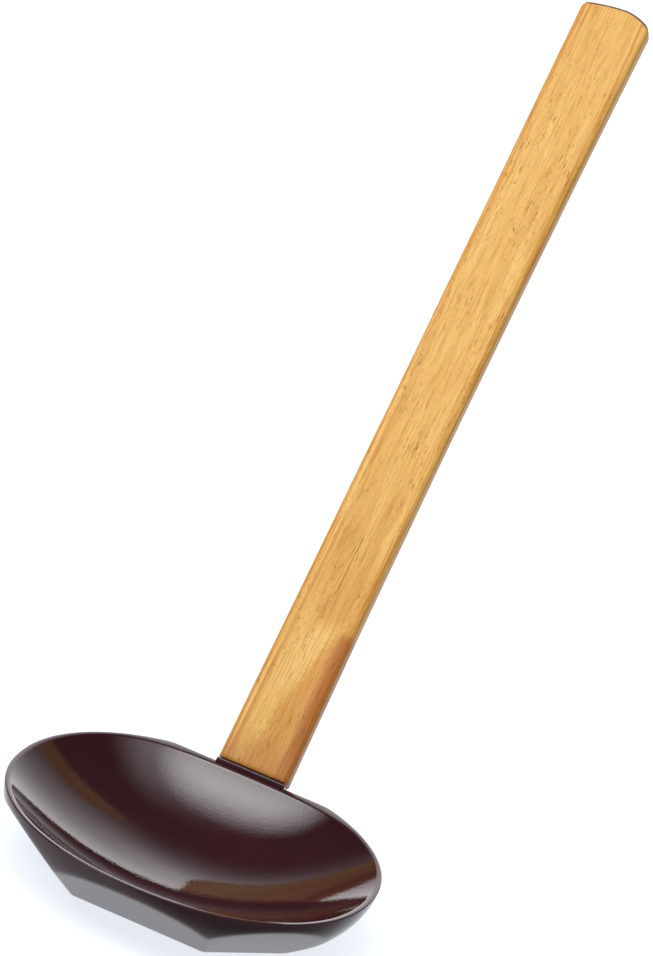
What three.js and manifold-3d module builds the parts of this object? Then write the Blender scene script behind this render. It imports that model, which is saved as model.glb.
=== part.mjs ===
// Serving ladle: a shallow lacquered bowl whose underside is cut with flat facets, and a slat
// handle that is tenoned into a boss on the bowl's back facet and locked there by a round pin.
//
// Millimetres, +Z up. The origin is the middle of the flat foot that the bowl stands on.
// +Y points to the handle, -Y is the front of the bowl, X runs along its width.

import * as THREE from 'three';
import { mergeVertices } from 'three/addons/utils/BufferGeometryUtils.js';
import Module from 'manifold-3d';

const wasm = await Module();
wasm.setup();

// ---- Driving dimensions -------------------------------------------------------------------

const FIT_GAP = 0.3;                  // clearance between pieces that touch

const bowl = {
  halfWidth: 45.7,
  halfDepth: 42.75,
  planPower: 2.11,                    // superellipse power of the plan outline
  height: 17,
  taper: 0.28,                        // share of the plan size lost between rim and foot
};

const dish = {
  lip: 1.1,                           // width of the rim around the dish
  depth: 14.3,
  profilePower: 2.3,                  // power of the dish's profile: 2 is a paraboloid
  cornerPower: 14,                    // how tightly the dish turns into its flat back
};

// Facets of the underside. The angle is measured from the front, the apothem at the foot,
// and the flare is how far the facet runs outwards for each millimetre of height.
const facets = {
  front: { angle: 0, apothem: 24.9, flare: 1.24 },
  side: { angle: THREE.MathUtils.degToRad(47.4), apothem: 29.3, flare: 1.06 },
  back: { angle: Math.PI, apothem: 25.9 },
};

const handle = {
  slope: THREE.MathUtils.degToRad(52.9),
  length: 218.4,                      // from the shoulder to the tip
  thickness: 6,
  baseWidth: 18.5,
  tipWidth: 19,
  leftHollow: 0.1,                    // how far each long edge bows in at mid length
  rightHollow: 0.95,
  edgeRound: 1.7,
  tipRise: 1.3,                       // height of the arc across the tip
  leftCorner: 2.7,
  rightCorner: 4,
};

const boss = {
  width: handle.baseWidth - 0.4,
  frontProud: 0.35,                   // the boss stands this far in front of the handle
  backProud: 0.4,
  sink: 1,                            // how far its front is let into the bowl's back rim
  rise: 1.45,                         // along the handle, above the rim
  cornerRound: 1.2,
};

const tenon = { width: 12, thickness: 3, length: 14 };
const pin = { radius: 1.1, drop: 7, length: 4.7 };

// ---- Values worked out from them ----------------------------------------------------------

// The back facet is parallel to the handle, so its flare follows from the handle's slope.
facets.back.flare = 1 / Math.tan(handle.slope);
const backRimY = facets.back.apothem + facets.back.flare * bowl.height;
const bossDepth = boss.frontProud + handle.thickness + boss.backProud;
const shoulderY = boss.rise + FIT_GAP;
const tenonZ = -boss.frontProud - handle.thickness / 2;

const BOWL_SEGMENTS = 96;
const WALL_STEPS = 8;
const DISH_STEPS = 14;
const PIN_SEGMENTS = 20;
const CUTTER = 200;                   // size of the blocks that cut flat faces

// ---- Solids -------------------------------------------------------------------------------

function solidFrom(geometry, matrix = new THREE.Matrix4()) {
  const plain = geometry.clone().applyMatrix4(matrix);
  plain.deleteAttribute('normal');
  plain.deleteAttribute('uv');
  const merged = mergeVertices(plain, 1e-4);
  const mesh = new wasm.Mesh({
    numProp: 3,
    vertProperties: new Float32Array(merged.attributes.position.array),
    triVerts: new Uint32Array(merged.index.array),
  });
  return new wasm.Manifold(mesh);
}

function geometryFrom(solid) {
  const mesh = solid.getMesh();
  const geometry = new THREE.BufferGeometry();
  geometry.setAttribute('position', new THREE.BufferAttribute(mesh.vertProperties, mesh.numProp));
  geometry.setIndex(new THREE.BufferAttribute(mesh.triVerts, 1));
  geometry.computeVertexNormals();
  return geometry;
}

function block(width, depth, height, x, y, z) {
  return solidFrom(new THREE.BoxGeometry(width, depth, height).translate(x, y, z));
}

// ---- Frame of the handle ------------------------------------------------------------------

// It starts at the front of the boss, level with the rim. Its Y runs up the handle, its X
// across the handle, and its Z out of the handle's front face.
const handleFrame = new THREE.Matrix4().makeRotationX(handle.slope);
handleFrame.setPosition(0, backRimY - boss.sink, bowl.height);

// ---- Bowl ---------------------------------------------------------------------------------

function superellipseRadius(angle, halfWidth, halfDepth) {
  const across = Math.abs(Math.cos(angle) / halfWidth) ** bowl.planPower;
  const along = Math.abs(Math.sin(angle) / halfDepth) ** bowl.planPower;
  return (across + along) ** (-1 / bowl.planPower);
}

// The dish follows the rim at an even distance, and flattens behind to follow the back facet.
function dishRadius(angle) {
  const round = superellipseRadius(angle, bowl.halfWidth - dish.lip, bowl.halfDepth - dish.lip);
  const backFlat = (backRimY - dish.lip) / Math.max(Math.sin(angle), 1e-6);
  return (round ** -dish.cornerPower + backFlat ** -dish.cornerPower) ** (-1 / dish.cornerPower);
}

// A lathed body of radius 1 across, stood up along Z and pushed out to the given plan.
function lathedToPlan(profile, planRadius) {
  const geometry = new THREE.LatheGeometry(profile, BOWL_SEGMENTS).rotateX(Math.PI / 2);
  const position = geometry.attributes.position;
  for (let i = 0; i < position.count; i += 1) {
    const scale = planRadius(Math.atan2(position.getY(i), position.getX(i)));
    position.setXY(i, position.getX(i) * scale, position.getY(i) * scale);
  }
  return solidFrom(geometry);
}

function bowlBlank() {
  const profile = [new THREE.Vector2(0, 0)];
  for (let step = 0; step <= WALL_STEPS; step += 1) {
    const up = step / WALL_STEPS;
    profile.push(new THREE.Vector2(1 - bowl.taper * (1 - up) ** 2, up * bowl.height));
  }
  profile.push(new THREE.Vector2(0, bowl.height));
  return lathedToPlan(profile, (angle) => superellipseRadius(angle, bowl.halfWidth, bowl.halfDepth));
}

function dishCutter() {
  const profile = [];
  for (let step = 0; step <= DISH_STEPS; step += 1) {
    const out = step / DISH_STEPS;
    profile.push(new THREE.Vector2(out, bowl.height - dish.depth * (1 - out ** dish.profilePower)));
  }
  profile.push(new THREE.Vector2(1, bowl.height + dish.depth));
  profile.push(new THREE.Vector2(0, bowl.height + dish.depth));
  return lathedToPlan(profile, dishRadius);
}

// A block whose near face is the facet's plane.
function facetCutter({ angle, apothem, flare }) {
  const lean = Math.atan(flare);
  const geometry = new THREE.BoxGeometry(CUTTER, CUTTER, CUTTER)
    .translate(0, -CUTTER / 2, 0)
    .rotateX(lean)
    .translate(0, -apothem, 0)
    .rotateZ(angle);
  return solidFrom(geometry);
}

// The boss continues the handle down the back facet and ends flat at the foot.
function bossSolid() {
  const half = boss.width / 2;
  const round = boss.cornerRound;
  const section = new THREE.Shape();
  section.moveTo(half, 0);
  section.lineTo(half, bossDepth - round);
  section.absarc(half - round, bossDepth - round, round, 0, Math.PI / 2, false);
  section.absarc(-half + round, bossDepth - round, round, Math.PI / 2, Math.PI, false);
  section.lineTo(-half, 0);
  section.closePath();

  const length = boss.rise + bowl.height / Math.sin(handle.slope) + bossDepth;
  const geometry = new THREE.ExtrudeGeometry(section, {
    depth: length,
    bevelEnabled: false,
    curveSegments: 5,
  });
  geometry.rotateX(-Math.PI / 2).translate(0, boss.rise - length, 0);
  const belowFoot = block(CUTTER, CUTTER, CUTTER, 0, 0, -CUTTER / 2);
  return solidFrom(geometry, handleFrame).subtract(belowFoot);
}

function mortiseCutter() {
  const depth = tenon.length + FIT_GAP;
  const geometry = new THREE.BoxGeometry(
    tenon.width + 2 * FIT_GAP,
    depth + FIT_GAP,
    tenon.thickness + 2 * FIT_GAP,
  );
  geometry.translate(0, shoulderY - depth / 2, tenonZ);
  return solidFrom(geometry, handleFrame);
}

// A cylinder at the pin's place. It starts at the boss's back face, or outside it by the
// overshoot, and reaches in by the given length.
function pinCylinder(radius, reach, overshoot = 0) {
  const length = reach + overshoot;
  return new THREE.CylinderGeometry(radius, radius, length, PIN_SEGMENTS)
    .rotateX(Math.PI / 2)
    .translate(0, boss.rise - pin.drop, reach - bossDepth - length / 2);
}

function bowlSolid() {
  const rearSideAngle = Math.PI - facets.side.angle;
  const cuts = [
    facets.front,
    facets.back,
    facets.side,
    { ...facets.side, angle: -facets.side.angle },
    { ...facets.side, angle: rearSideAngle },
    { ...facets.side, angle: -rearSideAngle },
  ];
  let solid = bowlBlank();
  for (const cut of cuts) {
    solid = solid.subtract(facetCutter(cut));
  }
  const pinHole = pinCylinder(pin.radius + FIT_GAP, pin.length + FIT_GAP, bossDepth);
  solid = solid.subtract(dishCutter()).add(bossSolid()).subtract(mortiseCutter());
  return solid.subtract(solidFrom(pinHole, handleFrame));
}

// ---- Handle -------------------------------------------------------------------------------

// Cross-section of the slat, with rounded long edges.
function slatSection() {
  const half = handle.baseWidth / 2;
  const round = handle.edgeRound;
  const depth = handle.thickness;
  const section = new THREE.Shape();
  section.absarc(half - round, round, round, -Math.PI / 2, 0, false);
  section.absarc(half - round, depth - round, round, 0, Math.PI / 2, false);
  section.absarc(-half + round, depth - round, round, Math.PI / 2, Math.PI, false);
  section.absarc(-half + round, round, round, Math.PI, 1.5 * Math.PI, false);
  return section;
}

// Front view of the tip: a low arc with rounded corners, widening below so that it only
// trims the tip.
function tipOutline() {
  const half = handle.tipWidth / 2;
  const top = handle.length - handle.tipRise;
  const shoulderRise = handle.tipRise / 3;
  const outline = new THREE.Shape();
  outline.moveTo(2 * half, 0);
  outline.lineTo(half, top - handle.rightCorner);
  outline.quadraticCurveTo(half, top, half - handle.rightCorner, top + shoulderRise);
  outline.quadraticCurveTo(
    0, handle.length + handle.tipRise / 2,
    -half + handle.leftCorner, top + shoulderRise,
  );
  outline.quadraticCurveTo(-half, top, -half, top - handle.leftCorner);
  outline.lineTo(-2 * half, 0);
  outline.closePath();
  return outline;
}

// The sides are moved in and out along the length: a slight flare to the tip, and a shallow
// hollow at mid length that is deeper on the right.
function shapeSides(geometry) {
  const flare = (handle.tipWidth - handle.baseWidth) / 2;
  const position = geometry.attributes.position;
  for (let i = 0; i < position.count; i += 1) {
    const x = position.getX(i);
    const along = position.getY(i) / handle.length;
    const hollow = x > 0 ? handle.rightHollow : handle.leftHollow;
    const outwards = flare * along - 4 * hollow * along * (1 - along);
    position.setX(i, x + Math.sign(x) * outwards);
  }
}

function handleSolid() {
  const slat = new THREE.ExtrudeGeometry(slatSection(), {
    depth: handle.length,
    steps: 16,
    bevelEnabled: false,
    curveSegments: 5,
  });
  slat.rotateX(-Math.PI / 2);
  shapeSides(slat);
  slat.translate(0, shoulderY, -boss.frontProud);

  const trim = new THREE.ExtrudeGeometry(tipOutline(), {
    depth: 3 * handle.thickness,
    bevelEnabled: false,
    curveSegments: 12,
  });
  trim.translate(0, shoulderY, -2 * handle.thickness);

  const buried = handle.edgeRound;
  const tongue = block(
    tenon.width, tenon.length + buried, tenon.thickness,
    0, shoulderY + (buried - tenon.length) / 2, tenonZ,
  );
  const pinHole = solidFrom(pinCylinder(pin.radius + FIT_GAP, bossDepth, bossDepth));
  return solidFrom(slat).intersect(solidFrom(trim)).add(tongue).subtract(pinHole);
}

// ---- Assembly -----------------------------------------------------------------------------

const lacquer = new THREE.MeshStandardMaterial({ color: 0x35201f, roughness: 0.25, metalness: 0 });
const varnishedBamboo = new THREE.MeshStandardMaterial({ color: 0xdcae68, roughness: 0.45, metalness: 0 });
const plainBamboo = new THREE.MeshStandardMaterial({ color: 0xb98c4e, roughness: 0.6, metalness: 0 });

function namedMesh(name, geometry, material) {
  const mesh = new THREE.Mesh(geometry, material);
  mesh.name = name;
  return mesh;
}

const ladle = new THREE.Group();
ladle.add(namedMesh('bowl', geometryFrom(bowlSolid()), lacquer));

const slopedPieces = new THREE.Group();
slopedPieces.rotation.x = handle.slope;
slopedPieces.position.set(0, backRimY - boss.sink, bowl.height);
slopedPieces.add(namedMesh('handle', geometryFrom(handleSolid()), varnishedBamboo));
slopedPieces.add(namedMesh('lock_pin', pinCylinder(pin.radius, pin.length), plainBamboo));
ladle.add(slopedPieces);

export default ladle;
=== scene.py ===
import math

import bmesh
import bpy
import numpy as np
from mathutils import Matrix, Vector, noise


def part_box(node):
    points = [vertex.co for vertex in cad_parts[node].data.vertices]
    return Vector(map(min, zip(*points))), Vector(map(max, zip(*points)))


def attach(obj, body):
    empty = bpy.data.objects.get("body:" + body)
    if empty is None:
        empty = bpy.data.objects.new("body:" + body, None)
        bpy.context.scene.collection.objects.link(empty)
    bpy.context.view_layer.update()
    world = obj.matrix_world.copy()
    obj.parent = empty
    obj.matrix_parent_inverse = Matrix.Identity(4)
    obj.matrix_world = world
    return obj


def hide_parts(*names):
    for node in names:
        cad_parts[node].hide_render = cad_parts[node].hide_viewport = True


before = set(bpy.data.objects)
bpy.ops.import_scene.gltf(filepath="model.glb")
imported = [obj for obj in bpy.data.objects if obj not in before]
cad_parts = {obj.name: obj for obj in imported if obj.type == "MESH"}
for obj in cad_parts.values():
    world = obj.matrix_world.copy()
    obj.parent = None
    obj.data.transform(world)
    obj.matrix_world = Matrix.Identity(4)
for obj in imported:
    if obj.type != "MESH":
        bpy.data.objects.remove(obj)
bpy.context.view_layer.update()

# Serving ladle: a shallow lacquered bowl whose underside is cut with flat facets, a boss on its
# back facet, a slat handle of varnished bamboo tenoned into the boss, and a round locking pin.
# The meshes are worked out in millimetres in the frame's axes and scaled to metres at the end.

MM = 0.001

# ---- Driving dimensions, in millimetres ---------------------------------------------------

bowl_low, bowl_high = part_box("bowl")

HALF_WIDTH = bowl_high.x / MM
HALF_DEPTH = -bowl_low.y / MM
RIM_HEIGHT = 17.0
PLAN_POWER = 2.11           # superellipse power of the plan outline
TAPER = 0.28                # share of the plan size lost between rim and foot
CREASE_POWER = 150.0        # how crisply the wall and the facets meet

DISH_LIP = 1.1              # width of the rim around the dish
DISH_DEPTH = 14.3
DISH_POWER = 2.3            # power of the dish's profile: 2 is a paraboloid
DISH_LIP_CORNERS = 14       # how crisply the dish's back flat ends, at the lip
DISH_MIDDLE_CORNERS = 4     # and in the middle of the dish
DISH_EDGE = 0.992           # where the rounded lip runs into the dish
LIP_ROUND = 0.35
FOOT_ROUND = 0.45

HANDLE_SLOPE = math.radians(52.9)
HANDLE_WIDTH = 18.5
HANDLE_TIP_WIDTH = 19.0
HANDLE_THICKNESS = 6.0
HANDLE_LENGTH = 218.4
LEFT_HOLLOW = 0.1           # how far each long edge bows in at mid length
RIGHT_HOLLOW = 0.95
HANDLE_ROUND = 1.7
SHOULDER_BREAK = 0.35       # broken edge of the handle's lower end
HANDLE_INSET = 0.05         # how far the uneven surface is set back into the slat
TIP_PEAK = 1.6              # how far right of the middle the tip is highest
TIP_DROP_LEFT = 1.75        # how far the tip's outline falls to the left edge
TIP_DROP_RIGHT = 2.8
LEFT_DROP_POWER = 1.6       # how late the tip's outline falls towards each edge
RIGHT_DROP_POWER = 2.0
TIP_REACH_POWER = 8         # how soon the tip's outline fades away down the handle

WAVE_HEIGHT = 0.07          # unevenness of the hand-planed slat
WAVE_RATES = (0.08, 0.035, 0.2)     # waves per millimetre across, along and through
WAVE_SEED = 7.0
WAVE_FADE_IN = 8.0          # length over which it comes in above the shoulder

BOSS_STEP_IN = 0.2          # how far its sides lie inside the handle's
BOSS_WIDTH = HANDLE_WIDTH - 2 * BOSS_STEP_IN
BOSS_FRONT_PROUD = 0.35
BOSS_BACK_PROUD = 0.4
BOSS_SINK = 1.0             # how far its front is let into the bowl's back rim
BOSS_RISE = 1.45
BOSS_ROUND = 1.2
BOSS_TOP_ROUND = 0.4
BOSS_FILLET = 0.8
FILLET_START = 1.2          # how far down the back facet the side fillets begin
FILLET_RUN = 5.0            # and how much further on they are full
PLAIN_STATION = 0.4         # a section between the fillets and the top, for even shading
BOSS_FOOT_GAP = 0.1         # how far the boss ends above the foot's plane

TENON_WIDTH = 12.0
TENON_THICKNESS = 3.0
TENON_LENGTH = 14.0
TENON_TAPER = 0.5
TENON_ROUND = 0.3
PIN_RADIUS = 1.1
PIN_DROP = 7.0
PIN_LENGTH = 4.7
PIN_BREAK = 0.12            # broken edges of the pin
PIN_GAP = 0.1               # around the pin in its hole
FIT_GAP = 0.3               # around the tenon and under the handle's shoulder

# Facets of the underside: angle from the front, apothem at the foot, and how far the facet
# runs outwards for each millimetre of height.
FRONT_APOTHEM = 24.9
FRONT_FLARE = 1.24
SIDE_ANGLE = math.radians(47.4)
SIDE_APOTHEM = 29.3
SIDE_FLARE = 1.06
BACK_APOTHEM = 25.9
BACK_FLARE = 1 / math.tan(HANDLE_SLOPE)
SIDE_ANGLES = (SIDE_ANGLE, -SIDE_ANGLE, math.pi - SIDE_ANGLE, math.pi + SIDE_ANGLE)
FACETS = [
    (0.0, FRONT_APOTHEM, FRONT_FLARE),
    *((angle, SIDE_APOTHEM, SIDE_FLARE) for angle in SIDE_ANGLES),
    (math.pi, BACK_APOTHEM, BACK_FLARE),
]

BACK_RIM_Y = BACK_APOTHEM + BACK_FLARE * RIM_HEIGHT
BOSS_DEPTH = BOSS_FRONT_PROUD + HANDLE_THICKNESS + BOSS_BACK_PROUD
SHOULDER_Y = BOSS_RISE + FIT_GAP
HANDLE_MIDDLE_Z = -BOSS_FRONT_PROUD - HANDLE_THICKNESS / 2

# The handle's own axes: Y up the handle, X across it, Z out of its front face, from the front
# of the boss at rim height.
HANDLE_FOOT = Matrix.Translation((0, BACK_RIM_Y - BOSS_SINK, RIM_HEIGHT))
HANDLE_FRAME = HANDLE_FOOT @ Matrix.Rotation(HANDLE_SLOPE, 4, "X")

# ---- Fineness of the meshes ---------------------------------------------------------------

DISH_CELLS = 176            # cells along each side of the dish's square grid
BOWL_RING = 4 * DISH_CELLS
WALL_ROWS = 46
LIP_STEPS = 7
FOOT_STEPS = 4
BOSS_CORNER_STEPS = 6
BOSS_TOP_STEPS = 4
PIN_SIDES = 40
FACE_CELLS = 36
SIDE_CELLS = 5
CORNER_CELLS = 6
LENGTH_ROWS = 240
TIP_STEPS = 7

# ---- Mesh helpers -------------------------------------------------------------------------


def mesh_object(name, points, faces, placement=None):
    """An object from points in millimetres, moved by the placement if there is one."""
    mesh = bpy.data.meshes.new(name)
    mesh.from_pydata([tuple(p) for p in points], [], faces)
    if placement is not None:
        mesh.transform(placement)
    mesh.transform(Matrix.Scale(MM, 4))
    piece = bpy.data.objects.new(name, mesh)
    bpy.context.scene.collection.objects.link(piece)
    return piece


def shade_smooth(piece, crease_degrees):
    """Smooth shading, with edges sharper than the angle kept crisp."""
    mesh = piece.data
    mesh.polygons.foreach_set("use_smooth", [True] * len(mesh.polygons))
    mesh.set_sharp_from_angle(angle=math.radians(crease_degrees))


def combine(piece, tool, operation):
    """Joins the tool to the piece or cuts it away, for good, and removes the tool."""
    change = piece.modifiers.new(operation, "BOOLEAN")
    change.operation = operation
    change.solver = "EXACT"
    change.object = tool
    graph = bpy.context.evaluated_depsgraph_get()
    result = bpy.data.meshes.new_from_object(piece.evaluated_get(graph), depsgraph=graph)
    piece.modifiers.clear()
    old = piece.data
    piece.data = result
    result.name = piece.name
    bpy.data.meshes.remove(old)
    bpy.data.objects.remove(tool)


def face_outwards(piece):
    """Turns every face of a closed mesh to point outwards."""
    edit = bmesh.new()
    edit.from_mesh(piece.data)
    bmesh.ops.recalc_face_normals(edit, faces=edit.faces)
    edit.to_mesh(piece.data)
    edit.free()


def cut_below(piece, height):
    """Cuts away what lies under a level plane, at a height in millimetres, and closes the cut."""
    edit = bmesh.new()
    edit.from_mesh(piece.data)
    cut = bmesh.ops.bisect_plane(
        edit, geom=[*edit.verts, *edit.edges, *edit.faces],
        plane_co=(0, 0, height * MM), plane_no=(0, 0, -1), clear_outer=True,
    )
    rim = [part for part in cut["geom_cut"] if isinstance(part, bmesh.types.BMEdge)]
    bmesh.ops.contextual_create(edit, geom=rim)
    edit.to_mesh(piece.data)
    edit.free()


def ring_faces(first, second, count):
    """Quads between two rings of vertices, given by their first numbers."""
    following = [(i + 1) % count for i in range(count)]
    return [(first + i, second + i, second + j, first + j) for i, j in enumerate(following)]


def loft_faces(rings, count):
    """Quads between rings that follow each other, and a face over each end."""
    faces = []
    for ring in range(rings - 1):
        faces += ring_faces(ring * count, (ring + 1) * count, count)
    faces.append(tuple(range(count)))
    faces.append(tuple(range(rings * count - 1, (rings - 1) * count - 1, -1)))
    return faces


def corner_curve(start, corner, end, steps):
    """Rows of a quadratic curve from start to end that rounds the corner, without its start."""
    rows = []
    for step in range(1, steps + 1):
        t = step / steps
        rows.append((1 - t) ** 2 * start + 2 * t * (1 - t) * corner + t ** 2 * end)
    return rows


# ---- Bowl ---------------------------------------------------------------------------------


def superellipse(angle, half_width, half_depth):
    """Radius of the plan outline at an angle from +X."""
    across = np.abs(np.cos(angle) / half_width) ** PLAN_POWER
    along = np.abs(np.sin(angle) / half_depth) ** PLAN_POWER
    return (across + along) ** (-1 / PLAN_POWER)


def soft_least(radii, power):
    """The least of several radii, with the change from one to the next rounded."""
    return sum(radius ** -power for radius in radii) ** (-1 / power)


def outer_radius(angle, height):
    """Outside of the bowl: a tapering superellipse body cut by the six facet planes."""
    least_facing = 0.05     # keeps a facet from cutting the side that it faces away from
    up = height / RIM_HEIGHT
    radii = [superellipse(angle, HALF_WIDTH, HALF_DEPTH) * (1 - TAPER * (1 - up) ** 2)]
    for facet_angle, apothem, flare in FACETS:
        facing = np.cos(angle + math.pi / 2 - facet_angle)
        radii.append((apothem + flare * height) / np.maximum(facing, least_facing))
    return soft_least(radii, CREASE_POWER)


def dish_radius(angle, out):
    """Level curve of the dish at out; its flat back is crisp at the lip and fades inwards."""
    least_facing = 0.02
    corners = DISH_MIDDLE_CORNERS + (DISH_LIP_CORNERS - DISH_MIDDLE_CORNERS) * out ** 3
    rounded = superellipse(angle, HALF_WIDTH - DISH_LIP, HALF_DEPTH - DISH_LIP)
    back_flat = (BACK_RIM_Y - DISH_LIP) / np.maximum(np.sin(angle), least_facing)
    return soft_least([rounded, back_flat], corners)


def polar_points(angle, radius, height):
    """Points from angles and radii around the bowl's middle, all at one height or each at its own."""
    return np.stack([radius * np.cos(angle), radius * np.sin(angle), height + 0 * radius], axis=-1)


def dish_points(angle, out):
    """Points of the dish's surface, with out running from 0 in the middle to 1 at the rim."""
    radius = dish_radius(angle, out) * out
    return polar_points(angle, radius, RIM_HEIGHT - DISH_DEPTH * (1 - out ** DISH_POWER))


def square_to_disc(across, along):
    """Angle and signed radius of the points of a square grid that is pressed into a disc."""
    wide = np.abs(across) > np.abs(along)
    safe_across = np.where(wide, across, 1)
    safe_along = np.where(wide | (along == 0), 1, along)
    side_angle = math.pi / 4 * along / safe_across
    end_angle = math.pi / 2 - math.pi / 4 * across / safe_along
    return np.where(wide, side_angle, end_angle), np.where(wide, across, along)


def dish_grid():
    """Points and faces of the dish, and the numbers of the points along its edge."""
    steps = np.linspace(-1, 1, DISH_CELLS + 1)
    across, along = np.meshgrid(steps, steps, indexing="ij")
    angle, out = square_to_disc(across, along)
    angle = np.where(out < 0, angle + math.pi, angle)
    points = dish_points(angle, np.abs(out) * DISH_EDGE).reshape(-1, 3)

    side = DISH_CELLS + 1
    number = np.arange(side * side).reshape(side, side)
    faces = []
    for i in range(DISH_CELLS):
        for j in range(DISH_CELLS):
            faces.append((number[i, j], number[i + 1, j], number[i + 1, j + 1], number[i, j + 1]))
    edge = [
        *number[-1, :-1],
        *number[:0:-1, -1],
        *number[0, :0:-1],
        *number[:-1, 0],
    ]
    return points, faces, edge


def lip_rows(angle):
    """Rows of the rounded rim, from the dish's edge over the top and down to the wall."""
    wall_top = RIM_HEIGHT - LIP_ROUND
    rim_radius = outer_radius(angle, RIM_HEIGHT)
    dish_edge = dish_points(angle, DISH_EDGE)
    dish_rim = polar_points(angle, dish_radius(angle, 1.0), RIM_HEIGHT)
    crown = polar_points(angle, rim_radius - LIP_ROUND, RIM_HEIGHT)
    rim_edge = polar_points(angle, rim_radius, RIM_HEIGHT)
    wall_edge = polar_points(angle, outer_radius(angle, wall_top), wall_top)
    inside = corner_curve(dish_edge, dish_rim, crown, LIP_STEPS)
    outside = corner_curve(crown, rim_edge, wall_edge, LIP_STEPS)
    return inside + outside


def wall_rows(angle):
    """Rows of the faceted outside below the rim, down to the rounded edge of the foot."""
    rows = []
    for height in np.linspace(RIM_HEIGHT - LIP_ROUND, FOOT_ROUND, WALL_ROWS)[1:]:
        rows.append(polar_points(angle, outer_radius(angle, height), height))
    foot_radius = outer_radius(angle, 0.0)
    foot_corner = polar_points(angle, foot_radius, 0.0)
    foot_edge = polar_points(angle, foot_radius - FOOT_ROUND, 0.0)
    return rows + corner_curve(rows[-1], foot_corner, foot_edge, FOOT_STEPS)


def bowl_shell():
    """The bowl without its boss: dish, rim, faceted wall and flat foot."""
    grid, faces, edge = dish_grid()
    angle = -math.pi / 4 + np.arange(BOWL_RING) * 2 * math.pi / BOWL_RING
    rows = lip_rows(angle) + wall_rows(angle)
    first = len(grid)
    for i in range(BOWL_RING):
        j = (i + 1) % BOWL_RING
        faces.append((edge[i], first + i, first + j, edge[j]))
    for _ in rows[1:]:
        faces += ring_faces(first, first + BOWL_RING, BOWL_RING)
        first += BOWL_RING
    faces.append(tuple(range(first + BOWL_RING - 1, first - 1, -1)))
    points = np.concatenate([grid, *rows])
    return mesh_object("bowl_body", points, [tuple(int(v) for v in face) for face in faces])


def boss_section(fillet, inset):
    """The boss's cross-section as a ring of (x, depth behind its front)."""
    half = BOSS_WIDTH / 2 - inset
    back = BOSS_DEPTH - inset
    quarter = [math.pi / 2 * step / BOSS_CORNER_STEPS for step in range(BOSS_CORNER_STEPS + 1)]
    side = [(half + fillet, inset)]
    for turn in quarter:
        side.append((half + fillet * (1 - math.sin(turn)), fillet * (1 - math.cos(turn))))
    for turn in quarter:
        x = half - BOSS_ROUND + BOSS_ROUND * math.cos(turn)
        side.append((x, back - BOSS_ROUND + BOSS_ROUND * math.sin(turn)))
    return side + [(-x, depth) for x, depth in reversed(side)]


def boss_stations():
    """Cross-sections up the boss, each as (place up the facet, side fillet, inset)."""
    bottom = RIM_HEIGHT / math.sin(HANDLE_SLOPE) + BOSS_DEPTH
    stations = []
    for drop in (bottom, 12, 8, 6, 5, 4, 3, 2, FILLET_START):
        fillet = BOSS_FILLET * min(1, (drop - FILLET_START) / FILLET_RUN)
        stations.append((-drop, fillet, 0.0))
    stations.append((-PLAIN_STATION, 0.0, 0.0))
    for step in range(BOSS_TOP_STEPS + 1):
        turn = math.pi / 2 * step / BOSS_TOP_STEPS
        rise = BOSS_RISE - BOSS_TOP_ROUND * (1 - math.sin(turn))
        stations.append((rise, 0.0, BOSS_TOP_ROUND * (1 - math.cos(turn))))
    return stations


def boss_solid():
    """The boss as a loft down the back facet, with a rounded top and filleted sides."""
    stations = boss_stations()
    points = []
    for y, fillet, inset in stations:
        points += [(x, y, -depth) for x, depth in boss_section(fillet, inset)]
    faces = loft_faces(len(stations), len(boss_section(0, 0)))
    boss = mesh_object("boss", points, faces, HANDLE_FRAME)
    face_outwards(boss)
    cut_below(boss, BOSS_FOOT_GAP)
    face_outwards(boss)
    return boss


def slope_block(width, length, thickness, y, z):
    """A block in the handle's axes, centred at (0, y, z)."""
    corners = [
        (sx * width / 2, y + sy * length / 2, z + sz * thickness / 2)
        for sx in (-1, 1) for sy in (-1, 1) for sz in (-1, 1)
    ]
    faces = [(0, 1, 3, 2), (4, 6, 7, 5), (0, 4, 5, 1), (2, 3, 7, 6), (0, 2, 6, 4), (1, 5, 7, 3)]
    return mesh_object("block", corners, faces, HANDLE_FRAME)


def peg(name, radius, near, far):
    """A round peg along the handle's Z at the locking pin's place, with slightly broken edges."""
    middle_y = BOSS_RISE - PIN_DROP
    stations = [
        (near, radius - PIN_BREAK),
        (near + PIN_BREAK, radius),
        (far - PIN_BREAK, radius),
        (far, radius - PIN_BREAK),
    ]
    points = []
    for z, ring_radius in stations:
        for i in range(PIN_SIDES):
            turn = 2 * math.pi * i / PIN_SIDES
            points.append((ring_radius * math.cos(turn), middle_y + ring_radius * math.sin(turn), z))
    faces = [face[::-1] for face in loft_faces(len(stations), PIN_SIDES)]
    return mesh_object(name, points, faces, HANDLE_FRAME)


def pin_hole(far):
    """The tool that cuts the pin's hole, from well behind the boss."""
    return peg("pin_hole", PIN_RADIUS + PIN_GAP, -2 * BOSS_DEPTH, far)


def make_bowl():
    """The bowl and its boss as one piece, with the mortise and the pin's hole cut in the boss."""
    boss = boss_solid()
    mortise_length = TENON_LENGTH + 2 * FIT_GAP
    mortise = slope_block(
        TENON_WIDTH + FIT_GAP, mortise_length, TENON_THICKNESS + FIT_GAP,
        SHOULDER_Y + FIT_GAP - mortise_length / 2, HANDLE_MIDDLE_Z,
    )
    combine(boss, mortise, "DIFFERENCE")
    combine(boss, pin_hole(-BOSS_DEPTH + PIN_LENGTH + FIT_GAP), "DIFFERENCE")
    piece = bowl_shell()
    combine(piece, boss, "UNION")
    shade_smooth(piece, crease_degrees=40)
    return piece


# ---- Handle -------------------------------------------------------------------------------


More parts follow.
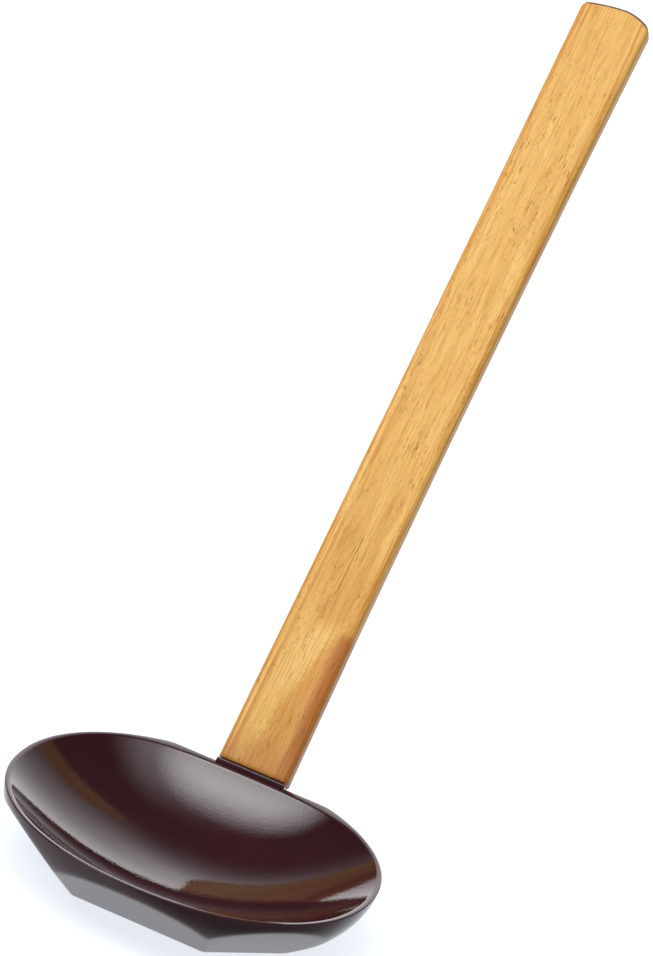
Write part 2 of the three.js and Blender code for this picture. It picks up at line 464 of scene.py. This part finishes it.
def slat_ring(half_width, half_thickness, rounding):
    """Centres and normals around a rounded rectangle, from the right side through the front."""
    quadrants = [(1, 1), (-1, 1), (-1, -1), (1, -1)]
    corners = []
    for quadrant, (sx, sz) in enumerate(quadrants):
        centre = (sx * (half_width - rounding), sz * (half_thickness - rounding))
        for step in range(CORNER_CELLS + 1):
            turn = math.pi / 2 * (quadrant + step / CORNER_CELLS)
            corners.append((centre, (math.cos(turn), math.sin(turn))))
    ring = []
    for i, (centre, normal) in enumerate(corners):
        ring.append((centre, normal))
        if i % (CORNER_CELLS + 1) == CORNER_CELLS:
            next_centre = corners[(i + 1) % len(corners)][0]
            cells = FACE_CELLS if i % (2 * CORNER_CELLS + 2) == CORNER_CELLS else SIDE_CELLS
            for step in range(1, cells):
                t = step / cells
                between = tuple(a + (b - a) * t for a, b in zip(centre, next_centre))
                ring.append((between, normal))
    return ring


def plain_row(half_width, half_thickness, rounding, y):
    """One even ring of the slat or its tenon, at a place up the handle."""
    return [
        (cx + nx * rounding, y, HANDLE_MIDDLE_Z + cz + nz * rounding)
        for (cx, cz), (nx, nz) in slat_ring(half_width, half_thickness, rounding)
    ]


def edge_shift(x, along):
    """How far a point moves outwards: the flare to the tip less the hollow at mid length."""
    flare = (HANDLE_TIP_WIDTH - HANDLE_WIDTH) / 2
    hollow = RIGHT_HOLLOW if x > 0 else LEFT_HOLLOW
    outwards = flare * along - 4 * hollow * along * (1 - along)
    return outwards if x > 0 else -outwards


def tip_drop(x):
    """How far the tip's outline lies below its highest point, at x across it."""
    half_width = HANDLE_TIP_WIDTH / 2
    if x < TIP_PEAK:
        return TIP_DROP_LEFT * ((TIP_PEAK - x) / (half_width + TIP_PEAK)) ** LEFT_DROP_POWER
    return TIP_DROP_RIGHT * ((x - TIP_PEAK) / (half_width - TIP_PEAK)) ** RIGHT_DROP_POWER


def hand_wave(x, y, z):
    """Small unevenness of a hand-planed slat, in millimetres."""
    rate_x, rate_y, rate_z = WAVE_RATES
    return WAVE_HEIGHT * noise.noise(Vector((x * rate_x, y * rate_y, z * rate_z + WAVE_SEED)))


def slat_row(ring, reach, along, tip_turn):
    """One ring of the slat: reach is in millimetres, along is its share of the whole length."""
    rounding = HANDLE_ROUND * math.cos(tip_turn)
    row = []
    for (cx, cz), (nx, nz) in ring:
        x = cx + nx * rounding + edge_shift(cx, along)
        drop = tip_drop(x) * along ** TIP_REACH_POWER
        y = SHOULDER_Y + reach - drop + HANDLE_ROUND * math.sin(tip_turn)
        z = HANDLE_MIDDLE_Z + cz + nz * rounding
        proud = hand_wave(cx, y, cz) * min(1, reach / WAVE_FADE_IN) - HANDLE_INSET
        row.append((x + nx * proud, y, z + nz * proud))
    return row


def slat_rows():
    """Rings of the slat from the shoulder to the tip, and the rings that round the tip over."""
    half_width = HANDLE_WIDTH / 2
    half_thickness = HANDLE_THICKNESS / 2
    core_length = HANDLE_LENGTH - HANDLE_ROUND
    ring = slat_ring(half_width, half_thickness, HANDLE_ROUND)
    rows = [plain_row(
        half_width - SHOULDER_BREAK, half_thickness - SHOULDER_BREAK,
        HANDLE_ROUND - SHOULDER_BREAK, SHOULDER_Y,
    )]
    for step in range(LENGTH_ROWS + 1):
        reach = SHOULDER_BREAK + (core_length - SHOULDER_BREAK) * step / LENGTH_ROWS
        rows.append(slat_row(ring, reach, reach / core_length, 0.0))
    for step in range(1, TIP_STEPS + 1):
        rows.append(slat_row(ring, core_length, 1.0, math.pi / 2 * step / TIP_STEPS))
    return rows


def tenon_rows():
    """Rings of the tenon, from its tapered end up to the shoulder."""
    end_y = SHOULDER_Y - TENON_LENGTH
    rows = []
    for y, inset in ((end_y, TENON_TAPER), (end_y + TENON_TAPER, 0.0), (SHOULDER_Y, 0.0)):
        half_width = TENON_WIDTH / 2 - inset
        half_thickness = TENON_THICKNESS / 2 - inset
        rows.append(plain_row(half_width, half_thickness, TENON_ROUND, y))
    return rows


def make_handle():
    rows = tenon_rows() + slat_rows()
    points = [point for row in rows for point in row]
    piece = mesh_object("handle_slat", points, loft_faces(len(rows), len(rows[0])), HANDLE_FRAME)
    face_outwards(piece)
    combine(piece, pin_hole(0.0), "DIFFERENCE")
    shade_smooth(piece, crease_degrees=50)
    return piece


def make_pin():
    piece = peg("locking_pin", PIN_RADIUS, -BOSS_DEPTH, -BOSS_DEPTH + PIN_LENGTH)
    shade_smooth(piece, crease_degrees=40)
    return piece


# ---- Shader nodes -------------------------------------------------------------------------

WHITE = (1.0, 1.0, 1.0)


class Graph:
    """Builds one node tree. A value is a socket, or else a number or a colour."""

    def __init__(self, tree):
        self.nodes = tree.nodes
        self.links = tree.links

    def feed(self, socket, value):
        """Links the value to the input socket, or sets it there."""
        if isinstance(value, bpy.types.NodeSocket):
            self.links.new(value, socket)
        elif isinstance(value, tuple):
            socket.default_value = (*value, 1)
        else:
            socket.default_value = value

    def coordinates(self, kind):
        return self.nodes.new("ShaderNodeTexCoord").outputs[kind]

    def noise_texture(self, vector, scale=1.0, detail=3, roughness=0.6, distortion=0.0):
        texture = self.nodes.new("ShaderNodeTexNoise")
        texture.inputs["Scale"].default_value = scale
        texture.inputs["Detail"].default_value = detail
        texture.inputs["Roughness"].default_value = roughness
        texture.inputs["Distortion"].default_value = distortion
        self.links.new(vector, texture.inputs["Vector"])
        return texture.outputs["Fac"]

    def mapping(self, vector, scale, rotation=(0, 0, 0), shift=(0, 0, 0)):
        """The vector scaled, then turned, then shifted."""
        node = self.nodes.new("ShaderNodeMapping")
        node.inputs["Scale"].default_value = scale
        node.inputs["Rotation"].default_value = rotation
        node.inputs["Location"].default_value = shift
        self.links.new(vector, node.inputs["Vector"])
        return node.outputs["Vector"]

    def ramp(self, factor, stops):
        """A colour ramp; each stop is (place, colour), and a number stands for a grey."""
        node = self.nodes.new("ShaderNodeValToRGB")
        elements = node.color_ramp.elements
        while len(elements) < len(stops):
            elements.new(0.5)
        for element, (place, colour) in zip(elements, stops):
            element.position = place
            rgb = colour if isinstance(colour, tuple) else (colour,) * 3
            element.color = (*rgb, 1)
        self.links.new(factor, node.inputs["Fac"])
        return node.outputs["Color"]

    def mix_colour(self, factor, first, second, blend="MIX"):
        node = self.nodes.new("ShaderNodeMix")
        node.data_type = "RGBA"
        node.blend_type = blend
        factor_socket, first_socket, second_socket = node.inputs[0], node.inputs[6], node.inputs[7]
        self.feed(factor_socket, factor)
        self.feed(first_socket, first)
        self.feed(second_socket, second)
        return node.outputs[2]

    def maths(self, operation, *values):
        node = self.nodes.new("ShaderNodeMath")
        node.operation = operation
        for socket, value in zip(node.inputs, values):
            self.feed(socket, value)
        return node.outputs[0]

    def product(self, *factors):
        result = factors[0]
        for factor in factors[1:]:
            result = self.maths("MULTIPLY", result, factor)
        return result

    def dot_product(self, vector, fixed):
        node = self.nodes.new("ShaderNodeVectorMath")
        node.operation = "DOT_PRODUCT"
        node.inputs[1].default_value = fixed
        self.links.new(vector, node.inputs[0])
        return node.outputs["Value"]

    def smooth_step(self, value, zero_at, one_at):
        """0 up to the first limit and 1 from the second on, or downwards if the first is greater."""
        node = self.nodes.new("ShaderNodeMapRange")
        node.interpolation_type = "SMOOTHSTEP"
        node.inputs["From Min"].default_value = zero_at
        node.inputs["From Max"].default_value = one_at
        self.links.new(value, node.inputs["Value"])
        return node.outputs["Result"]

    def band(self, value, rise, fall):
        """1 between the end of the rise and the start of the fall, and 0 outside both."""
        rise_start, rise_end = rise
        fall_start, fall_end = fall
        above = self.smooth_step(value, rise_start, rise_end)
        below = self.smooth_step(value, fall_end, fall_start)
        return self.product(above, below)

    def stain(self, colour, mask, strength, tint):
        """The colour turned towards the tint by the strength, where the mask is 1."""
        return self.mix_colour(self.maths("MULTIPLY", mask, strength), colour, tint)

    def wash(self, colour, factor, strength, full_at, none_at, tint):
        """The colour multiplied by the tint, from full to none as the factor grows."""
        tints = self.ramp(factor, [(full_at, tint), (none_at, WHITE)])
        return self.mix_colour(strength, colour, tints, "MULTIPLY")

    def bump(self, height, distance, strength, below=None):
        """The normal of a height in metres, on top of another bump if there is one."""
        node = self.nodes.new("ShaderNodeBump")
        node.inputs["Distance"].default_value = distance
        node.inputs["Strength"].default_value = strength
        self.links.new(height, node.inputs["Height"])
        if below is not None:
            self.links.new(below, node.inputs["Normal"])
        return node.outputs["Normal"]


def new_material(name):
    """A material, the graph that builds its nodes, and its shader's inputs."""
    material = bpy.data.materials.new(name)
    material.use_nodes = True
    graph = Graph(material.node_tree)
    return material, graph, graph.nodes["Principled BSDF"].inputs


# ---- Lacquer ------------------------------------------------------------------------------

LACQUER_TONES = [
    (0.30, (0.0250, 0.0050, 0.0080)),
    (0.52, (0.0310, 0.0065, 0.0098)),
    (0.72, (0.0390, 0.0088, 0.0120)),
]
PEEL_DEPTH = 13e-6          # orange peel, in metres
SWELL_DEPTH = 30e-6


def lacquer_material():
    """Very dark red-brown lacquer: slightly uneven depth of colour and faint orange peel."""
    material, graph, shader = new_material("dark_lacquer")
    place = graph.coordinates("Object")

    cloud = graph.noise_texture(place, scale=45, detail=4)
    graph.feed(shader["Base Color"], graph.ramp(cloud, LACQUER_TONES))

    haze = graph.noise_texture(place, scale=120, detail=4)
    graph.feed(shader["Roughness"], graph.ramp(haze, [(0.3, 0.028), (0.7, 0.055)]))

    peel = graph.noise_texture(place, scale=1300, detail=2, roughness=0.55)
    swell = graph.noise_texture(place, scale=210, detail=2, roughness=0.5)
    normal = graph.bump(peel, PEEL_DEPTH, 1.0)
    graph.feed(shader["Normal"], graph.bump(swell, SWELL_DEPTH, 0.6, below=normal))

    shader["IOR"].default_value = 1.43
    return material


# ---- Bamboo -------------------------------------------------------------------------------

BAMBOO_TONES = [
    (0.30, (0.75, 0.395, 0.086)),
    (0.50, (0.84, 0.490, 0.125)),
    (0.70, (0.91, 0.580, 0.180)),
]
MOTTLE_TINT = (0.90, 0.84, 0.72)
FIBRE_TINT = (0.80, 0.66, 0.42)
RUST = (0.62, 0.230, 0.036)
LOWER_BROWN = (0.70, 0.300, 0.060)
WEDGE_BROWN = (0.44, 0.135, 0.020)
UPPER_BROWN = (0.70, 0.330, 0.072)
BASE_BROWN = (0.55, 0.215, 0.052)
PALE_PATCH = (0.93, 0.61, 0.215)
FLECK_BROWN = (0.28, 0.060, 0.008)
# painted shade for the slat's narrow sides
PAINTED_SIDE_SHADE = (0.50, 0.230, 0.055)
# dark colour for the faces at the tip's end
DARK_TIP_END = (0.075, 0.030, 0.030)
FIBRE_DEPTH = 60e-6         # relief of the surface, in metres
MOTTLE_DEPTH = 80e-6

# The slanting limit of the lower stain: how far left of the middle line it starts at the foot,
# how far right it runs for each millimetre up the handle, and how far it wanders to each side.
SLANT_FOOT = 4.6
SLANT_LEAN = 0.21
SLANT_WANDER = 2.2


def handle_coordinates(graph):
    """Object coordinates turned into the handle's own axes, in millimetres."""
    to_handle = HANDLE_FRAME.inverted()
    return graph.mapping(
        graph.coordinates("Object"), (1 / MM,) * 3,
        rotation=to_handle.to_euler(), shift=to_handle.to_translation(),
    )


def grain(graph, local, rates, shift=(0, 0, 0), **texture):
    """Noise in the handle's axes, with so many waves per millimetre across, along and through."""
    return graph.noise_texture(graph.mapping(local, rates, shift=shift), **texture)


def edge_streaks(graph, colour, off_middle, streak):
    """Rust-coloured streaks inside both long edges."""
    near_edge = graph.band(off_middle, rise=(5.2, 7.4), fall=(8.4, 9.3))
    mask = graph.product(near_edge, graph.smooth_step(streak, 0.42, 0.58))
    return graph.stain(colour, mask, 0.75, RUST)


def slanting_limit(graph, local, across, along):
    """How far right of the lower stain's feathered, slanting limit a point is."""
    feather = grain(graph, local, (0.35, 1.5, 0.35), roughness=0.7)
    slant = graph.maths("MULTIPLY_ADD", along, -SLANT_LEAN, SLANT_FOOT)
    wander = graph.maths("MULTIPLY_ADD", feather, 2 * SLANT_WANDER, -SLANT_WANDER)
    return graph.maths("ADD", graph.maths("ADD", across, slant), wander)


def lower_stains(graph, colour, local, across, along, streak):
    """The stained lower end: brown right of a slanting limit, pale left of it, dark far right."""
    right_of_slant = slanting_limit(graph, local, across, along)
    below_top = graph.smooth_step(along, 43.0, 39.5)
    stained = graph.product(graph.smooth_step(right_of_slant, -0.6, 1.4), below_top)
    colour = graph.stain(colour, stained, 0.62, LOWER_BROWN)
    pale = graph.product(
        graph.band(right_of_slant, rise=(-8.5, -3.5), fall=(-1.6, 0.6)),
        graph.band(along, rise=(18.0, 30.0), fall=(39.0, 43.5)),
    )
    colour = graph.stain(colour, pale, 0.75, PALE_PATCH)
    wedge = graph.product(
        graph.smooth_step(across, 4.6, 6.6),
        below_top,
        graph.smooth_step(streak, 0.36, 0.52),
    )
    return graph.stain(colour, wedge, 0.85, WEDGE_BROWN)


def flush_and_base(graph, colour, off_middle, along, broad):
    """A brown flush up the middle above the lower stains, and the dark base by the boss."""
    flush = graph.product(
        graph.band(along, rise=(41.5, 46.0), fall=(52.0, 92.0)),
        graph.smooth_step(off_middle, 7.2, 3.4),
        graph.smooth_step(broad, 0.62, 0.40),
    )
    colour = graph.stain(colour, flush, 0.65, UPPER_BROWN)
    return graph.stain(colour, graph.smooth_step(along, 13.0, 2.0), 0.55, BASE_BROWN)


def fleck_mask(graph, local):
    """Short dark flecks that come in groups."""
    fleck = grain(graph, local, (3.6, 0.42, 3.6), shift=(5, 2, 1), detail=2)
    group = grain(graph, local, (0.22, 0.06, 0.22), shift=(1, 8, 4), detail=2)
    return graph.product(graph.smooth_step(fleck, 0.585, 0.68), graph.smooth_step(group, 0.38, 0.60))


def sides_and_tip(graph, colour):
    """Painted shade on the narrow sides, and a dark colour on the tip's end faces."""
    facing = graph.coordinates("Normal")
    sideways = graph.maths("ABSOLUTE", graph.dot_product(facing, (1, 0, 0)))
    # painted shade: faces that look sideways are darkened
    colour = graph.stain(colour, graph.smooth_step(sideways, 0.55, 0.95), 0.45, PAINTED_SIDE_SHADE)
    up_handle = HANDLE_FRAME.to_3x3() @ Vector((0, 1, 0))
    # faces at the tip's end, those that look up the handle, are given a dark colour
    tip = graph.smooth_step(graph.dot_product(facing, up_handle), 0.30, 0.60)
    return graph.mix_colour(tip, colour, DARK_TIP_END)


def bamboo_material():
    """Honey-yellow slat under a satin varnish, with long grain, flecks, stains and painted shade on
    its narrow sides.
    """
    material, graph, shader = new_material("varnished_bamboo")
    local = handle_coordinates(graph)
    split = graph.nodes.new("ShaderNodeSeparateXYZ")
    graph.links.new(local, split.inputs[0])
    across, along = split.outputs["X"], split.outputs["Y"]
    off_middle = graph.maths("ABSOLUTE", across)

    broad = grain(graph, local, (0.30, 0.022, 0.30), detail=4, distortion=0.4)
    mottle = grain(graph, local, (1.3, 0.55, 1.3))
    streak = grain(graph, local, (0.9, 0.018, 0.9), shift=(3, 1, 0), detail=4, roughness=0.65)
    fibre = grain(graph, local, (2.9, 0.085, 2.9), distortion=0.2)

    colour = graph.ramp(broad, BAMBOO_TONES)
    colour = graph.wash(colour, mottle, strength=0.5, full_at=0.38, none_at=0.60, tint=MOTTLE_TINT)
    colour = edge_streaks(graph, colour, off_middle, streak)
    colour = lower_stains(graph, colour, local, across, along, streak)
    colour = flush_and_base(graph, colour, off_middle, along, broad)
    colour = graph.wash(colour, fibre, strength=0.8, full_at=0.36, none_at=0.50, tint=FIBRE_TINT)
    colour = graph.stain(colour, fleck_mask(graph, local), 0.75, FLECK_BROWN)
    graph.feed(shader["Base Color"], sides_and_tip(graph, colour))

    graph.feed(shader["Roughness"], graph.ramp(mottle, [(0.3, 0.38), (0.7, 0.50)]))
    normal = graph.bump(fibre, FIBRE_DEPTH, 0.5)
    graph.feed(shader["Normal"], graph.bump(mottle, MOTTLE_DEPTH, 0.4, below=normal))
    shader["Specular IOR Level"].default_value = 0.32
    return material


def pin_material():
    """Bare end grain of the bamboo peg."""
    material, graph, shader = new_material("bare_bamboo")
    dots = grain(graph, handle_coordinates(graph), (6, 6, 0.4))
    graph.feed(shader["Base Color"], graph.ramp(dots, [
        (0.35, (0.30, 0.150, 0.045)),
        (0.60, (0.52, 0.300, 0.110)),
    ]))
    shader["Roughness"].default_value = 0.6
    return material


# ---- Studio -------------------------------------------------------------------------------

FLOOR_REACH = 12000.0       # in millimetres, from the middle to each side
FLOOR_LEVEL = -0.05         # a hair below the foot
FLOOR_TONES = [
    (0.3, (0.30, 0.31, 0.325)),
    (0.7, (0.32, 0.33, 0.345)),
]
FLOOR_GLOW = (0.77, 0.81, 0.87)
FLOOR_SHADE = (0.02, 0.02, 0.022)
SHADE_OUTWARDS = (0.76, -0.65, 0)   # away from the foot, towards the front right
SHADE_SIDEWAYS = (0.65, 0.76, 0)
SHADE_SHIFT = 0.020         # in metres, like the limits of the shade below

# Azimuth 0 is in front of the ladle and 90 to its right; angles in degrees, sizes in metres.
KEY_AZIMUTH = -50.0
KEY_ELEVATION = 50.0
KEY_DISTANCE = 1.2
KEY_SIZE = 0.5
KEY_RADIANCE = 7.5
KEY_AIM = Vector((0, 0.02, 0.02))

# Soft glows of the studio: azimuth, elevation, radiance at the middle, and half its reach.
GLOWS = [
    (-66, 77, 9.0, 9.5),        # overhead lamp
    (30, 79, 3.3, 17.0),        # ceiling around it
    (-168, 8, 2.6, 26.0),       # backdrop behind the ladle
]
ROOM_RADIANCE = 0.10
ROOM_TINT = (1.0, 0.985, 0.975)

CAMERA_AZIMUTH = 13.36
CAMERA_ELEVATION = 20.51
CAMERA_ROLL = 17.6
CAMERA_DISTANCE = 1200.0    # in millimetres, like the next two
FOOT_RIGHT = -35.645        # how far right of the view's middle the foot's middle lies
FOOT_UP = -96.349
LENS_LENGTH = 192.47
SENSOR_WIDTH = 36
CAMERA_REACH = 60           # in metres


def towards(azimuth, elevation):
    """Unit vector to a direction. Azimuth 0 is in front, 90 to the right."""
    a = math.radians(azimuth)
    e = math.radians(elevation)
    return Vector((math.sin(a) * math.cos(e), -math.cos(a) * math.cos(e), math.sin(e)))


def floor_material():
    """Pale lit table with a soft shade at the ladle's front right."""
    material, graph, shader = new_material("pale_floor")
    place = graph.coordinates("Object")
    tone = graph.noise_texture(place, scale=3, detail=2, roughness=0.5)
    graph.feed(shader["Base Color"], graph.ramp(tone, FLOOR_TONES))

    outwards = graph.dot_product(place, SHADE_OUTWARDS)
    sideways = graph.maths("ADD", graph.dot_product(place, SHADE_SIDEWAYS), SHADE_SHIFT)
    shade = graph.product(
        graph.band(outwards, rise=(0.030, 0.055), fall=(0.060, 0.190)),
        graph.smooth_step(graph.maths("ABSOLUTE", sideways), 0.130, 0.030),
    )
    graph.feed(shader["Emission Color"], graph.mix_colour(shade, FLOOR_GLOW, FLOOR_SHADE))
    shader["Emission Strength"].default_value = 1.0
    shader["Roughness"].default_value = 0.9
    shader["Specular IOR Level"].default_value = 0.1
    return material


def make_floor():
    corners = [
        (sx * FLOOR_REACH, sy * FLOOR_REACH, FLOOR_LEVEL)
        for sx, sy in ((-1, -1), (1, -1), (1, 1), (-1, 1))
    ]
    floor = mesh_object("floor", corners, [(0, 1, 2, 3)])
    floor.data.materials.append(floor_material())


def make_key_light():
    """A square soft light aimed at the bowl."""
    back = towards(KEY_AZIMUTH, KEY_ELEVATION)
    lamp = bpy.data.lights.new("key_light", "AREA")
    lamp.shape = "SQUARE"
    lamp.size = KEY_SIZE
    lamp.energy = KEY_RADIANCE * math.pi * KEY_SIZE ** 2
    holder = bpy.data.objects.new("key_light", lamp)
    holder.location = KEY_AIM + back * KEY_DISTANCE
    holder.rotation_euler = back.to_track_quat("Z", "Y").to_euler()
    bpy.context.scene.collection.objects.link(holder)


def make_world():
    """A dark room with round soft glows."""
    world = bpy.data.worlds.new("studio")
    world.use_nodes = True
    graph = Graph(world.node_tree)
    direction = graph.coordinates("Generated")
    radiance = ROOM_RADIANCE
    for azimuth, elevation, middle_radiance, half_reach in GLOWS:
        facing = graph.dot_product(direction, towards(azimuth, elevation))
        apart = graph.maths("ARCCOSINE", facing)
        glow = graph.smooth_step(apart, math.radians(2 * half_reach), 0.0)
        radiance = graph.maths("MULTIPLY_ADD", glow, middle_radiance, radiance)
    background = graph.nodes["Background"].inputs
    graph.feed(background["Strength"], radiance)
    graph.feed(background["Color"], ROOM_TINT)
    bpy.context.scene.world = world


def make_camera():
    azimuth = math.radians(CAMERA_AZIMUTH)
    roll = math.radians(CAMERA_ROLL)
    back = towards(CAMERA_AZIMUTH, CAMERA_ELEVATION)
    level_right = Vector((math.cos(azimuth), math.sin(azimuth), 0))
    level_up = back.cross(level_right)
    right = level_right * math.cos(roll) + level_up * math.sin(roll)
    up = level_up * math.cos(roll) - level_right * math.sin(roll)
    place = (back * CAMERA_DISTANCE - right * FOOT_RIGHT - up * FOOT_UP) * MM
    lens = bpy.data.cameras.new("camera")
    lens.lens = LENS_LENGTH
    lens.sensor_width = SENSOR_WIDTH
    lens.clip_end = CAMERA_REACH
    camera = bpy.data.objects.new("camera", lens)
    camera.matrix_world = Matrix.Translation(place) @ Matrix((right, up, back)).transposed().to_4x4()
    bpy.context.scene.collection.objects.link(camera)
    bpy.context.scene.camera = camera


make_camera()
make_world()
make_floor()
make_key_light()
bpy.context.scene.view_settings.view_transform = "Standard"

# ---- Pieces -------------------------------------------------------------------------------

bowl = make_bowl()
handle = make_handle()
pin = make_pin()

bowl.data.materials.append(lacquer_material())
handle.data.materials.append(bamboo_material())
pin.data.materials.append(pin_material())

for piece, node, slot in (
    (bowl, "bowl", "lacquer"),
    (handle, "handle", "varnished_bamboo"),
    (pin, "lock_pin", "plain_bamboo"),
):
    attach(piece, "root")
    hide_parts(node)
